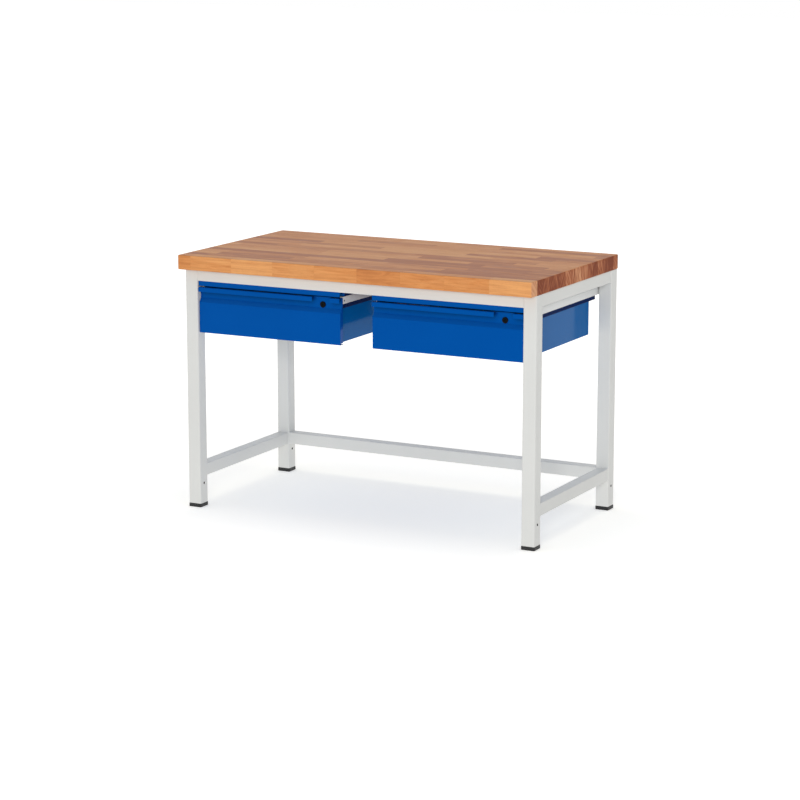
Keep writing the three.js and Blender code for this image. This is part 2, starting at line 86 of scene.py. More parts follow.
# Beech: waves to a metre along X, Y and Z, weights and levels of the patterns, colours and gloss
FIGURE_WAVES = (3.5, 22, 22)
FLOW_WAVES = (11, 75, 75)
STREAK_WAVES = (9, 210, 210)
FLECK_WAVES = (170, 1500, 1500)
RAY_WAVES = (0, 120, 16)
RING_WAVES = 95.0
FIGURE_WEIGHT = 0.9
FLOW_WEIGHT = 0.7
SIDE_LEVEL = 0.80
RAY_WEIGHT = 1.9
RING_WEIGHT = 0.08
END_LEVEL = 0.99
END_LEAN = 0.75
SIDE_TONES = ((0.05, (0.425, 0.130, 0.037)), (0.45, (0.74, 0.295, 0.089)), (0.92, (0.865, 0.41, 0.146)))
END_TONES = ((0.05, (0.23, 0.054, 0.021)), (0.50, (0.46, 0.152, 0.066)), (0.95, (0.78, 0.40, 0.21)))
STREAK_COLOUR = (0.49, 0.165, 0.05)
STREAK_SPAN = (0.35, 0.7)
STREAK_STRENGTH = 0.5
FLECK_COLOUR = (0.30, 0.105, 0.04)
FLECK_SPAN = (0.62, 0.75)
FLECK_STRENGTH = 0.4
JOINT_COLOUR = (0.22, 0.085, 0.035)
JOINT_STRENGTH = 0.38
END_FACES = (0.55, 0.85)
SHADED_UPPER_FACES = (0.6, 0.9)
BEECH_ROUGHNESS = (0.40, 0.56)
SIDE_SPECULAR = 0.22
END_SPECULAR = 0.04
STREAK_HEIGHT = 0.7
FLECK_HEIGHT = 0.4

# Paint and metal
NOISE_SPAN = (0.3, 0.7)
SPECK_SPAN = (0.66, 0.8)
SPECK_STRENGTH = 0.5
SPECK_GAIN = 1.12
SPECK_LIFT = 0.006
# Painted shade in creases and recesses: how far the occlusion looks, the span it is spread over and the
# darkest share of the colour
FOLD_REACH = 30 * MM
FOLD_SPAN = (0.45, 0.95)
FOLD_SHADE = 0.36
BLUE_SHEEN = (0.02, 1.0, 1.0)
PLATE_METALLIC = 0.85
SPANGLE_STRENGTH = 0.6
ROLLING_WAVES = (900, 14, 900)

# Mesh detail
ROUND_STEPS = 32
FASTENER_STEPS = 24
HOLE_STEPS = 20
NUT_STEPS = 48
CORNER_STEPS = 6
CORNER_FOLLOWS_EDGE = 0.8
SMALL_CORNER_STEPS = 3
RECESS_CORNER_STEPS = 2
SMOOTH_ANGLE = radians(35)
EDGE_BREAK = 0.3 * MM
EDGE_BREAK_STEPS = 2
EDGE_BREAK_ANGLE = radians(50)
MERGE_REACH = 0.001 * MM
SOLID_MERGE_REACH = 0.01 * MM

# Welded frame
LEG_CORNER = 4 * MM
RAIL_CORNER = 2.5 * MM
TUBE_WALL = 2 * MM
LEG_HOLE = 8 * MM
LEG_HOLE_RISE = 79 * MM
WELD_RADIUS = 1.5 * MM
WELD_RIPPLE = 0.14
WELD_PITCH = 3.2 * MM
WELD_PITCH_STEPS = 4
WELD_SIDES = 8
WELD_SINK = 0.35 * WELD_RADIUS
WELD_INSET = 0.3 * WELD_RADIUS

# Feet, with the plug's sections at shares of its height
FOOT_RIM = 0.8 * MM
FOOT_EDGE = 1.5 * MM
FOOT_EDGE_STEPS = 3
FOOT_GROOVE = 0.6 * MM
FOOT_PLUG = (
    (0.0, "full"), (0.25, "full"), (0.35, "groove"), (0.5, "groove"),
    (0.6, "full"), (0.75, "full"), (0.85, "groove"), (1.0, "groove"),
)

# Folded sheet of the drawer fronts and strips
SHEET = 1.2 * MM
BEND = 1.7 * MM
BEND_STEPS = 5
LIP_PROUD = 6 * MM
GRIP_DEPTH = 9.5 * MM
LIP_HEIGHT = 15.5 * MM
GRIP_WALL_HEIGHT = 35.5 * MM
SLANT_HEIGHT = 14 * MM
SIDE_RETURN = 18 * MM
SIDE_RETURN_LIFT = 5 * MM
LOCK_CUT_WIDTH = 64 * MM
LIP_STUB = 2 * MM

# Lock: the flange's rim as insets and depths in edges, and shares of the nut's width and the cam's half height
LOCK_FLANGE = 3 * MM
LOCK_FLANGE_EDGE = 0.9 * MM
LOCK_RIM = ((2.0, 0.0), (0.6, 0.3), (0.0, 1.0))
LOCK_BODY_D = 16 * MM
LOCK_BORE_D = 10.6 * MM
PLUG_D = 10 * MM
KEYWAY_WIDTH = 1.6 * MM
KEYWAY_HEIGHT = 6 * MM
KEYWAY_DEPTH = 5 * MM
NUT_FACE = 0.95
CAM_SHEET = 2 * MM
CAM_CORNER = 0.5

# Runners and rollers: the groove's top and floor are shares of the width, from its middle
# Black disc at each front rivet, the painted shade of its hole
AXLE_END_D = 5.4 * MM
AXLE_END_PROUD = 0.6 * MM
SLIDE_HEM_SHEET = 2.1 * MM
SLIDE_HEM_HEIGHT = 5.5 * MM
SLIDE_HEM_LAP = 1.5 * MM
SLIDE_HEM_ROUND = 0.9
ROLLER_BORE = 8.6 * MM
ROLLER_EDGE = 0.8 * MM
ROLLER_GROOVE = 0.4 * MM
ROLLER_GROOVE_TOP = 0.08
ROLLER_GROOVE_FLOOR = 0.03

# Bolts and screws: plain numbers are shares of the head, or of the recess at its mouth
BOLT_D = 5 * MM
BOLT_HEAD_HEIGHT = 3.5 * MM
BOLT_FLANGE = 0.8 * MM
BOLT_FACE = 0.33
BOLT_CHAMFER = 0.39
BOLT_HEXAGON = 0.92
SCREW_D = 6 * MM
SCREW_HEAD_HEIGHT = 4 * MM
SCREW_DOME = (0.35, 0.7, 0.9, 1.0)
SCREW_DOME_RISE = 0.75
SCREW_DOME_POWER = 4
RECESS_ARM = 0.55
RECESS_SLOT = 0.7 * MM
RECESS_DEPTH = 1.6 * MM
RECESS_ARM_TAPER = 0.6
RECESS_SLOT_TAPER = 0.8

# Camera and studio
CAMERA_PLACE = (3.7085, -7.0917, 1.9993)
CAMERA_TURN = (radians(78.44), 0, radians(27.564))
CAMERA_LENS = 113.0
KEY_LAMP = {"place": (3.57, -8.01, 2.63), "aim": (0, 0, 0.6), "size": (1.8, 1.6), "power": 220}
FLOOR_LAMP = {"place": (0.1, -0.1, 4.6), "aim": (0.1, -0.1, 0), "size": (2.4, 1.8), "power": 40}
SKY_LOW = 0.36
SKY_HIGH = 0.76
SKY_SIDE = 0.2
SKY_SEEN = 1.0
FLOOR_SIZE = 60
FLOOR_SQUARES = 8
FLOOR_COLOUR = (0.93, 0.925, 0.89)
FLOOR_NEAR = 1.0
FLOOR_FAR = 3.0
FLOOR_NEAR_LIGHT = 0.75
FLOOR_FAR_LIGHT = 0.41
FLOOR_WHITE = 1.03
FLOOR_GIVES = 0.86
WHITE = (1, 1, 1)
BLACK = (0, 0, 0)


def add(tree, kind, links=None, **settings):
    """A new node with its settings, and its inputs set to a value or linked to another node's output."""
    made = tree.nodes.new("ShaderNode" + kind)
    for name, value in settings.items():
        setattr(made, name, value)
    for socket, value in (links or {}).items():
        if isinstance(value, bpy.types.NodeSocket):
            tree.links.new(value, made.inputs[socket])
        else:
            made.inputs[socket].default_value = value
    return made


def opaque(colour):
    """A colour with its alpha; one that comes from another node stays as it is."""
    return colour if isinstance(colour, bpy.types.NodeSocket) else (*colour, 1)


def calc(tree, operation, *values):
    return add(tree, "Math", dict(enumerate(values)), operation=operation).outputs[0]


def remap(tree, value, span, low, high):
    """The value spread from its span to low and high, and held at those ends."""
    links = {"Value": value, "From Min": span[0], "From Max": span[1], "To Min": low, "To Max": high}
    return add(tree, "MapRange", links).outputs["Result"]


def from_noise(tree, value, low, high):
    """A noise, which is mostly within its usual span, spread to low and high."""
    return remap(tree, value, NOISE_SPAN, low, high)


def uneven(tree, value, level, by):
    """A noise spread evenly about a level."""
    return from_noise(tree, value, level - by, level + by)


def mix_colour(tree, factor, a, b):
    """Two colours mixed; a Mix node has its colours at inputs 6 and 7 and their mix at output 2."""
    return add(tree, "Mix", {0: factor, 6: opaque(a), 7: opaque(b)}, data_type="RGBA").outputs[2]


def ramp(tree, factor, stops):
    node = add(tree, "ValToRGB", {"Fac": factor})
    elements = node.color_ramp.elements
    while len(elements) < len(stops):
        elements.new(0.5)
    for element, (place, colour) in zip(elements, stops):
        element.position = place
        element.color = opaque(colour)
    return node.outputs["Color"]


def noise(tree, vector, scale=1.0, detail=3.0, rough=0.55, distortion=0.0):
    links = {"Vector": vector, "Scale": scale, "Detail": detail, "Roughness": rough, "Distortion": distortion}
    return add(tree, "TexNoise", links).outputs["Fac"]


def stretched(tree, vector, factors):
    return add(tree, "VectorMath", {0: vector, 1: factors}, operation="MULTIPLY").outputs[0]


def separate(tree, vector):
    return add(tree, "SeparateXYZ", {0: vector}).outputs


def bump(tree, height, strength, distance):
    links = {"Height": height, "Strength": strength, "Distance": distance}
    return add(tree, "Bump", links).outputs["Normal"]


def new_material(name):
    """A material with its node tree, its surface node and the place on the object."""
    material = bpy.data.materials.new(name)
    material.use_nodes = True
    tree = material.node_tree
    surface = tree.nodes["Principled BSDF"]
    place = add(tree, "TexCoord").outputs["Object"]
    return material, tree, surface, place


def link_surface(tree, surface, colour, roughness, normal):
    tree.links.new(colour, surface.inputs["Base Color"])
    tree.links.new(roughness, surface.inputs["Roughness"])
    tree.links.new(normal, surface.inputs["Normal"])


def lay_staves(tree, place):
    """Rows of staves along X.

    Gives the place across the rows and along a row, counted in staves, and each stave's own value and colour.
    """
    x, y, _ = separate(tree, place)
    front = cad_box[0].y - STAVE_JOINT
    across = calc(tree, "DIVIDE", calc(tree, "SUBTRACT", y, front), STAVE_WIDTH)
    row = calc(tree, "FLOOR", across)
    row_chance = add(tree, "TexWhiteNoise", {"W": row}, noise_dimensions="1D").outputs["Value"]
    is_front_row = calc(tree, "LESS_THAN", row, 0.5)
    least = calc(tree, "MULTIPLY_ADD", is_front_row, FRONT_STAVES_MORE, STAVES_LEAST)
    staves = calc(tree, "MULTIPLY_ADD", row_chance, STAVES_CHANCE, least)
    counted = calc(tree, "MULTIPLY", calc(tree, "DIVIDE", x, STAVE_LENGTH), staves)
    along = calc(tree, "ADD", counted, calc(tree, "MULTIPLY", row_chance, ROW_SHIFT))
    stave = calc(tree, "FLOOR", along)
    stave_key = add(tree, "CombineXYZ", {0: row, 1: stave, 2: 0.0}).outputs[0]
    chance = add(tree, "TexWhiteNoise", {"Vector": stave_key}, noise_dimensions="3D").outputs
    return across, along, chance["Value"], chance["Color"]


def side_grain(tree, own_place, tone, streak, fleck):
    """Long grain: a broad figure and flowing bands over the stave's tone, then streaks and dark flecks."""
    figure = noise(tree, stretched(tree, own_place, FIGURE_WAVES), distortion=1.1)
    flow = noise(tree, stretched(tree, own_place, FLOW_WAVES), detail=2.0, rough=0.5, distortion=1.6)
    broad = calc(tree, "MULTIPLY_ADD", figure, FIGURE_WEIGHT, tone)
    banded = calc(tree, "MULTIPLY_ADD", flow, FLOW_WEIGHT, broad)
    side = ramp(tree, calc(tree, "SUBTRACT", banded, SIDE_LEVEL), SIDE_TONES)
    streaked = mix_colour(tree, remap(tree, streak, STREAK_SPAN, 0.0, STREAK_STRENGTH), side, STREAK_COLOUR)
    return mix_colour(tree, remap(tree, fleck, FLECK_SPAN, 0.0, FLECK_STRENGTH), streaked, FLECK_COLOUR)


def end_grain(tree, own_place, tone, own_colour):
    """End grain: rays and faint rings, which lean a different way on each stave."""
    lean = calc(tree, "MULTIPLY_ADD", separate(tree, own_colour)[1], 2 * END_LEAN, -END_LEAN)
    lean_sin = calc(tree, "SINE", lean)
    lean_cos = calc(tree, "COSINE", lean)
    _, y, z = separate(tree, own_place)
    over = calc(tree, "MULTIPLY_ADD", y, lean_cos, calc(tree, "MULTIPLY", z, lean_sin))
    up = calc(tree, "SUBTRACT", calc(tree, "MULTIPLY", z, lean_cos), calc(tree, "MULTIPLY", y, lean_sin))
    leaning = add(tree, "CombineXYZ", {0: 0.0, 1: over, 2: up}).outputs[0]
    ray = noise(tree, stretched(tree, leaning, RAY_WAVES), detail=2.0, distortion=0.4)
    rings = add(tree, "TexWave", {
        "Vector": leaning, "Scale": RING_WAVES, "Distortion": 2.5, "Detail": 2.0, "Detail Scale": 0.6,
    }, wave_type="BANDS", bands_direction="Y").outputs["Fac"]
    rayed = calc(tree, "SUBTRACT", calc(tree, "MULTIPLY_ADD", ray, RAY_WEIGHT, tone), END_LEVEL)
    return ramp(tree, calc(tree, "MULTIPLY_ADD", rings, RING_WEIGHT, rayed), END_TONES)


def beech():
    """Glued beech staves, with end grain at both ends of the board and painted shade on the upper face."""
    material, tree, surface, place = new_material("beech_staves")
    across, along, tone, own_colour = lay_staves(tree, place)
    apart = stretched(tree, own_colour, STAVE_APART)
    own_place = add(tree, "VectorMath", {0: place, 1: apart}, operation="ADD").outputs[0]
    streak = noise(tree, stretched(tree, own_place, STREAK_WAVES), detail=4.0, rough=0.6)
    fleck = noise(tree, stretched(tree, own_place, FLECK_WAVES), detail=1.0, rough=0.5)

    side = side_grain(tree, own_place, tone, streak, fleck)
    endways, _, upwards = separate(tree, add(tree, "TexCoord").outputs["Normal"])
    is_end = remap(tree, calc(tree, "ABSOLUTE", endways), END_FACES, 0.0, 1.0)
    # Painted shade: faces that look up are mixed towards black, as less light falls on them
    shaded = mix_colour(tree, remap(tree, upwards, SHADED_UPPER_FACES, 0.0, TOP_PAINTED_SHADE), side, BLACK)
    wood = mix_colour(tree, is_end, shaded, end_grain(tree, own_place, tone, own_colour))

    from_row = calc(tree, "PINGPONG", across, 0.5)
    from_butt = calc(tree, "PINGPONG", along, 0.5)
    row_line = remap(tree, from_row, (0.0, STAVE_JOINT / STAVE_WIDTH), 1.0, 0.0)
    butt_line = remap(tree, from_butt, (0.0, STAVE_JOINT / STAVE_LENGTH), 1.0, 0.0)
    joint = calc(tree, "MULTIPLY", calc(tree, "MAXIMUM", row_line, butt_line), JOINT_STRENGTH)
    jointed = mix_colour(tree, joint, wood, JOINT_COLOUR)

    streak_height = calc(tree, "MULTIPLY", streak, STREAK_HEIGHT)
    height = calc(tree, "ADD", streak_height, calc(tree, "MULTIPLY", fleck, FLECK_HEIGHT))
    normal = bump(tree, height, strength=0.22, distance=0.25 * MM)
    link_surface(tree, surface, jointed, from_noise(tree, streak, *BEECH_ROUGHNESS), normal)
    specular = remap(tree, is_end, (0.0, 1.0), SIDE_SPECULAR, END_SPECULAR)
    tree.links.new(specular, surface.inputs["Specular IOR Level"])
    return material


def powder_coat(name, colour, shade, roughness, specular, peel=0.10, tint=WHITE, shade_in_folds=False):
    """Baked powder paint: a little cloudy, with orange peel and paler specks, and with painted shade in
    creases and recesses if asked.
    """
    material, tree, surface, place = new_material(name)
    cloud = noise(tree, place, scale=5.0, detail=2.0)
    speck = noise(tree, place, scale=900.0, detail=1.0)
    orange_peel = noise(tree, place, scale=650.0, detail=2.0, rough=0.5)
    paler = [min(1.0, SPECK_GAIN * c + SPECK_LIFT) for c in colour]
    base = mix_colour(tree, from_noise(tree, cloud, 0.0, 1.0), colour, shade)
    coat = mix_colour(tree, remap(tree, speck, SPECK_SPAN, 0.0, SPECK_STRENGTH), base, paler)
    # Painted shade: where faces of the same piece hide the open, the colour darkens
    if shade_in_folds:
        reach = add(tree, "AmbientOcclusion", {"Distance": FOLD_REACH}, samples=8, only_local=True)
        fold_shade_colour = [c * FOLD_SHADE for c in colour]
        coat = mix_colour(tree, remap(tree, reach.outputs["AO"], FOLD_SPAN, 1.0, 0.0), coat, fold_shade_colour)
    normal = bump(tree, orange_peel, strength=peel, distance=0.12 * MM)
    link_surface(tree, surface, coat, uneven(tree, cloud, roughness, by=0.04), normal)
    surface.inputs["Specular IOR Level"].default_value = specular
    surface.inputs["Specular Tint"].default_value = opaque(tint)
    return material


def plated_steel(name, colour, shade, roughness):
    """Zinc-plated steel: faint spangle and rolling lines."""
    material, tree, surface, place = new_material(name)
    spangle = add(tree, "TexVoronoi", {"Vector": place, "Scale": 260.0}).outputs["Color"]
    flake = separate(tree, spangle)[0]
    lines = noise(tree, stretched(tree, place, ROLLING_WAVES), detail=2.0)
    base = mix_colour(tree, calc(tree, "MULTIPLY", flake, SPANGLE_STRENGTH), colour, shade)
    normal = bump(tree, lines, strength=0.12, distance=0.05 * MM)
    link_surface(tree, surface, base, uneven(tree, lines, roughness, by=0.08), normal)
    surface.inputs["Metallic"].default_value = PLATE_METALLIC
    return material


def moulded_plastic(name, colour, shade, roughness):
    """Moulded plastic: fine spark-eroded grain with a little tone."""
    material, tree, surface, place = new_material(name)
    tone = noise(tree, place, scale=60.0)
    grain = noise(tree, place, scale=2200.0, detail=1.0)
    base = mix_colour(tree, tone, colour, shade)
    normal = bump(tree, grain, strength=0.25, distance=0.06 * MM)
    link_surface(tree, surface, base, uneven(tree, grain, roughness, by=0.06), normal)
    return material


def turned_black(name, colour, shade, roughness, specular):
    """Blackened lock metal with fine turning marks."""
    material, tree, surface, place = new_material(name)
    marks = noise(tree, place, scale=1500.0, detail=2.0)
    base = mix_colour(tree, marks, colour, shade)
    normal = bump(tree, marks, strength=0.1, distance=0.04 * MM)
    link_surface(tree, surface, base, uneven(tree, marks, roughness, by=0.08), normal)
    surface.inputs["Specular IOR Level"].default_value = specular
    return material


FINISH = {
    "beech": beech(),
    "frame_grey": powder_coat(
        "grey_powder_coat", (0.755, 0.76, 0.737), (0.73, 0.735, 0.712), roughness=0.42, specular=0.4),
    "drawer_blue": powder_coat(
        "blue_powder_coat", (0.0003, 0.076, 0.392), (0.0003, 0.072, 0.376), roughness=0.10, specular=0.12,
        peel=0.02, tint=BLUE_SHEEN, shade_in_folds=True),
    # Painted shade: a darkened copy of the drawer blue for the slides, hangers and hems, which lie in shade
    # under the runners
    "slide_blue": powder_coat(
        "blue_coat_with_painted_shade", (0.0003, 0.012, 0.088), (0.0003, 0.011, 0.080), roughness=0.5, specular=0.03,
        peel=0.05, tint=BLUE_SHEEN),
    # Painted reflection: a paler, greener copy of the drawer blue for the trays, standing in for the pale
    # floor reflected on their sides
    "tray_blue_with_painted_light": powder_coat(
        "tray_blue_coat", (0.0003, 0.120, 0.400), (0.0003, 0.115, 0.385), roughness=0.10, specular=0.06,
        peel=0.02, tint=BLUE_SHEEN, shade_in_folds=True),
    "runner_steel": powder_coat(
        "pale_runner_coat", (0.84, 0.845, 0.835), (0.81, 0.815, 0.805), roughness=0.36, specular=0.4),
    "zinc_steel": plated_steel("zinc_plate", (0.56, 0.57, 0.58), (0.42, 0.43, 0.45), roughness=0.34),
    "nylon": moulded_plastic("white_nylon", (0.74, 0.72, 0.67), (0.68, 0.66, 0.61), roughness=0.48),
    "black_plastic": moulded_plastic(
        "black_moulding", (0.004, 0.004, 0.0045), (0.007, 0.007, 0.008), roughness=0.5),
    "lock_black": turned_black(
        "lock_black_finish", (0.002, 0.002, 0.0025), (0.006, 0.006, 0.007), roughness=0.34, specular=0.06),
}
# Bare steel made nearly black: painted shade for the inside of the tubes and their holes
BARE_STEEL_WITH_PAINTED_SHADE = plated_steel("bare_steel_with_painted_shade", (0.020, 0.020, 0.021), (0.012, 0.012, 0.013), roughness=0.6)


def as_object(name, bm):
    bmesh.ops.remove_doubles(bm, verts=bm.verts, dist=MERGE_REACH)
    bmesh.ops.recalc_face_normals(bm, faces=bm.faces)
    mesh = bpy.data.meshes.new(name)
    bm.to_mesh(mesh)
    bm.free()
    obj = bpy.data.objects.new(name, mesh)
    bpy.context.scene.collection.objects.link(obj)
    return obj


def cut(obj, cutter_mesh):
    """Takes the cutter's volume out of the piece."""
    cutter = as_object("cutter", cutter_mesh)
    hole = obj.modifiers.new("hole", "BOOLEAN")
    hole.operation = "DIFFERENCE"
    hole.solver = "EXACT"
    hole.object = cutter
    graph = bpy.context.evaluated_depsgraph_get()
    cut_mesh = bpy.data.meshes.new_from_object(obj.evaluated_get(graph))
    obj.modifiers.clear()
    obj.data = cut_mesh
    bpy.data.objects.remove(cutter)


def paint(obj, finish):
    obj.data.materials.clear()
    obj.data.materials.append(FINISH[finish])


def break_edges(obj):
    rounded = obj.modifiers.new("broken_edges", "BEVEL")
    rounded.width = EDGE_BREAK
    rounded.segments = EDGE_BREAK_STEPS
    rounded.limit_method = "ANGLE"
    rounded.angle_limit = EDGE_BREAK_ANGLE


def smooth(obj):
    """Smooth faces with sharp edges kept, and normals that follow the large faces."""
    obj.data.polygons.foreach_set("use_smooth", [True] * len(obj.data.polygons))
    obj.data.set_sharp_from_angle(angle=SMOOTH_ANGLE)
    weighted = obj.modifiers.new("even_faces", "WEIGHTED_NORMAL")
    weighted.keep_sharp = True


def dress(obj, body, slot, *nodes, eased=False):
    """Finish and body of the piece; the solids that it stands for are hidden."""
    paint(obj, slot)
    if eased:
        break_edges(obj)
    smooth(obj)
    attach(obj, body)
    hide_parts(*nodes)


def carry_over(node, finish):
    """A solid whose shape is right as it is: its edges are eased and it gets its finish."""
    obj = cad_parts[node]
    paint(obj, finish)
    weld = obj.modifiers.new("joined_faces", "WELD")
    weld.merge_threshold = SOLID_MERGE_REACH
    break_edges(obj)
    smooth(obj)


def rounded_ring(half_u, half_v, corner, steps=CORNER_STEPS):
    """Points round a rectangle with round corners, centred on zero."""
    points = []
    for quarter, (su, sv) in enumerate([(1, 1), (-1, 1), (-1, -1), (1, -1)]):
        for step in range(steps + 1):
            angle = (quarter + step / steps) * pi / 2
            u = su * (half_u - corner) + corner * cos(angle)
            v = sv * (half_v - corner) + corner * sin(angle)
            points.append((u, v))
    return points


def round_ring(radius, steps=ROUND_STEPS):
    """Points round a circle, centred on zero."""
    angles = [2 * pi * i / steps for i in range(steps)]
    return [(radius * cos(angle), radius * sin(angle)) for angle in angles]


def hexagon_ring(across_corners, steps=FASTENER_STEPS):
    """A hexagon with the same number of points as a round ring of that many steps."""
    apothem = across_corners / 2 * cos(pi / 6)
    points = []
    for i in range(steps):
        angle = 2 * pi * i / steps
        from_flat = (angle + pi / 6) % (pi / 3) - pi / 6
        radius = apothem / cos(from_flat)
        points.append((radius * cos(angle), radius * sin(angle)))
    return points


AXES = {
    "x": lambda u, v, s: Vector((s, u, v)),
    "y": lambda u, v, s: Vector((u, s, v)),
    "z": lambda u, v, s: Vector((u, v, s)),
}


def loft(bm, rings, axis, centre, closed=False):
    """Skins a stack of [ring, height] along an axis; closed joins the last ring to the first, as in tubes."""
    place = AXES[axis]
    rows = []
    for ring, height in rings:
        rows.append([bm.verts.new(Vector(centre) + place(u, v, height)) for u, v in ring])
    pairs = list(zip(rows, rows[1:]))
    if closed:
        pairs.append((rows[-1], rows[0]))
    for low, high in pairs:
        for i in range(len(low)):
            j = (i + 1) % len(low)
            bm.faces.new((low[i], low[j], high[j], high[i]))
    if not closed:
        bm.faces.new(rows[0])
        bm.faces.new(rows[-1])


def bar(bm, diameter, axis, centre, start, end, steps=HOLE_STEPS):
    ring = round_ring(diameter / 2, steps)
    loft(bm, [(ring, start), (ring, end)], axis, centre)


def middle(node):
    low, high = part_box(node)
    return (low + high) / 2


def centre_line(node, axis):
    """The line along an axis through the middle of a node, as its point at zero."""
    point = middle(node)
    point["xyz".index(axis)] = 0
    return point


def tube(bm, node, axis, corner):
    """Square tube in the place of a solid, with its bore."""
    low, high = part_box(node)
    k = "xyz".index(axis)
    size = high - low
    half = max(size[(k + 1) % 3], size[(k + 2) % 3]) / 2
    bore = half - TUBE_WALL
    outer = rounded_ring(half, half, corner)
    inner = rounded_ring(bore, bore, max(corner - TUBE_WALL, TUBE_WALL / 4))
    skin = [(outer, low[k]), (outer, high[k]), (inner, high[k]), (inner, low[k])]
    loft(bm, skin, axis, centre_line(node, axis), closed=True)


def edge_profile(half_u, half_v, corner, low, high, radius, steps):
    """Rings of a board whose upper and lower edges are rounded."""
    rings = []
    for bottom in (True, False):
        for step in range(steps + 1):
            angle = step / steps * pi / 2
            inset = radius * (1 - sin(angle)) if bottom else radius * (1 - cos(angle))
            height = low + radius * (1 - cos(angle)) if bottom else high - radius * (1 - sin(angle))
            ring = rounded_ring(half_u - inset, half_v - inset, corner - inset * CORNER_FOLLOWS_EDGE)
            rings.append((ring, height))
    return rings


def make_worktop():
    low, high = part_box("worktop")
    half = (high - low) / 2
    bm = bmesh.new()
    rings = edge_profile(half.x, half.y, TOP_CORNER, low.z, high.z, TOP_EDGE, TOP_EDGE_STEPS)
    loft(bm, rings, "z", (0, 0, 0))
    top = as_object("beech_worktop", bm)
    holes = bmesh.new()
    for side in SIDES:
        screw = f"{side}_worktop_screw"
        screw_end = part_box(screw)[1].z
        start, end = low.z - TOP_EDGE, screw_end + EDGE_BREAK
        bar(holes, SCREW_D + EDGE_BREAK, "z", centre_line(screw, "z"), start, end)
    cut(top, holes)
    dress(top, "frame", "beech", "worktop")


def leave_bore_bare(leg, low, high):
    """Inside the tube and its holes the steel is left bare, as the paint doesn't reach there, and nearly
    black: painted shade in the bore and holes.
    """
    leg.data.materials.append(BARE_STEEL_WITH_PAINTED_SHADE)
    axis = (low + high) / 2
    # The outer faces look outwards from about half the width, and those of the bore and holes don't
    skin = (high.x - low.x) / 4
    for face in leg.data.polygons:
        flat_normal = Vector((face.normal.x, face.normal.y, 0))
        outward = (face.center - axis).dot(flat_normal)
        if outward < skin:
            face.material_index = 1


def make_legs():
    for corner in CORNERS:
        node = f"{corner}_leg"
        bm = bmesh.new()
        tube(bm, node, "z", LEG_CORNER)
        leg = as_object(f"{corner}_tube_leg", bm)
        hole = bmesh.new()
        low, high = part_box(node)
        centre = centre_line(node, "x")
        centre.z = LEG_HOLE_RISE
        bar(hole, LEG_HOLE, "x", centre, low.x - SHEET, high.x + SHEET, FASTENER_STEPS)
        cut(leg, hole)
        dress(leg, "frame", "frame_grey", node, eased=True)
        leave_bore_bare(leg, low, high)


def make_feet():
    """Caps under the legs, each with a grooved plug inside its leg."""
    for corner in CORNERS:
        node = f"{corner}_foot"
        low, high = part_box(node)
        cap_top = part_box(f"{corner}_leg")[0].z - EDGE_BREAK
        half = (high.x - low.x) / 2
        plug = half - FOOT_RIM - TUBE_WALL - EDGE_BREAK
        groove = plug - FOOT_GROOVE
        sections = {
            "full": rounded_ring(plug, plug, LEG_CORNER - TUBE_WALL),
            "groove": rounded_ring(groove, groove, LEG_CORNER - TUBE_WALL),
        }
        rings = edge_profile(half, half, LEG_CORNER, low.z, cap_top, FOOT_EDGE, FOOT_EDGE_STEPS)
        for share, section in FOOT_PLUG:
            rings.append((sections[section], cap_top + share * (high.z - cap_top)))
        bm = bmesh.new()
        loft(bm, rings, "z", centre_line(node, "z"))
        dress(as_object(f"{corner}_foot_cap", bm), "frame", "black_plastic", node)


def rail_holes(rail):
    """Clearance holes for the screw and bolts that pass through a rail's underside."""
    low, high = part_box(rail)
    bm = bmesh.new()
    fasteners = [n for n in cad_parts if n.endswith("_worktop_screw") or "_bolt_" in n]
    for node in sorted(fasteners):
        centre = centre_line(node, "z")
        if low.x < centre.x < high.x and low.y < centre.y < high.y:
            is_screw = node.endswith("_worktop_screw")
            diameter = (SCREW_D if is_screw else BOLT_D) + 2 * EDGE_BREAK
            top = high.z + SHEET if is_screw else low.z + 2 * TUBE_WALL
            bar(bm, diameter, "z", centre, low.z - SHEET, top)
    return bm


def make_rails():
    for node, axis in {**RAILS, **STRETCHERS}.items():
        bm = bmesh.new()
        tube(bm, node, axis, RAIL_CORNER)
        rail = as_object(f"{node}_tube", bm)
        if node in RAILS:
            cut(rail, rail_holes(node))
        dress(rail, "frame", "frame_grey", node, eased=True)


def weld_path(half):
    """Evenly spaced points round a square tube."""
    outline = rounded_ring(half, half, RAIL_CORNER, SMALL_CORNER_STEPS)
    path = []
    for (u0, v0), (u1, v1) in zip(outline, outline[1:] + outline[:1]):
        length = ((u1 - u0) ** 2 + (v1 - v0) ** 2) ** 0.5
        steps = max(1, round(length / (WELD_PITCH / WELD_PITCH_STEPS)))
        path += [(u0 + (u1 - u0) * i / steps, v0 + (v1 - v0) * i / steps) for i in range(steps)]
    return path


def weld_ring(bm, half, axis, centre, at):
    """A rippled bead laid round the end of a square tube."""
    rows = []
    for i, (u, v) in enumerate(weld_path(half)):
        radius = WELD_RADIUS * (1 + WELD_RIPPLE * sin(2 * pi * i / WELD_PITCH_STEPS))
        reach = (u * u + v * v) ** 0.5
        row = []
        for du, dv in round_ring(radius, WELD_SIDES):
            spot = AXES[axis](u * (1 + du / reach), v * (1 + du / reach), at + dv)
            row.append(bm.verts.new(Vector(centre) + spot))
        rows.append(row)
    for a, b in zip(rows, rows[1:] + rows[:1]):
        for side in range(WELD_SIDES):
            j = (side + 1) % WELD_SIDES
            bm.faces.new((a[side], a[j], b[j], b[side]))


def make_welds():
    for node, axis in {**RAILS, **STRETCHERS}.items():
        low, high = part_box(node)
        k = "xyz".index(axis)
        half = (high.z - low.z) / 2 - WELD_SINK
        bm = bmesh.new()
        for at in (low[k] + WELD_INSET, high[k] - WELD_INSET):
            weld_ring(bm, half, axis, centre_line(node, axis), at)
        dress(as_object(f"{node}_welds", bm), "frame", "frame_grey")


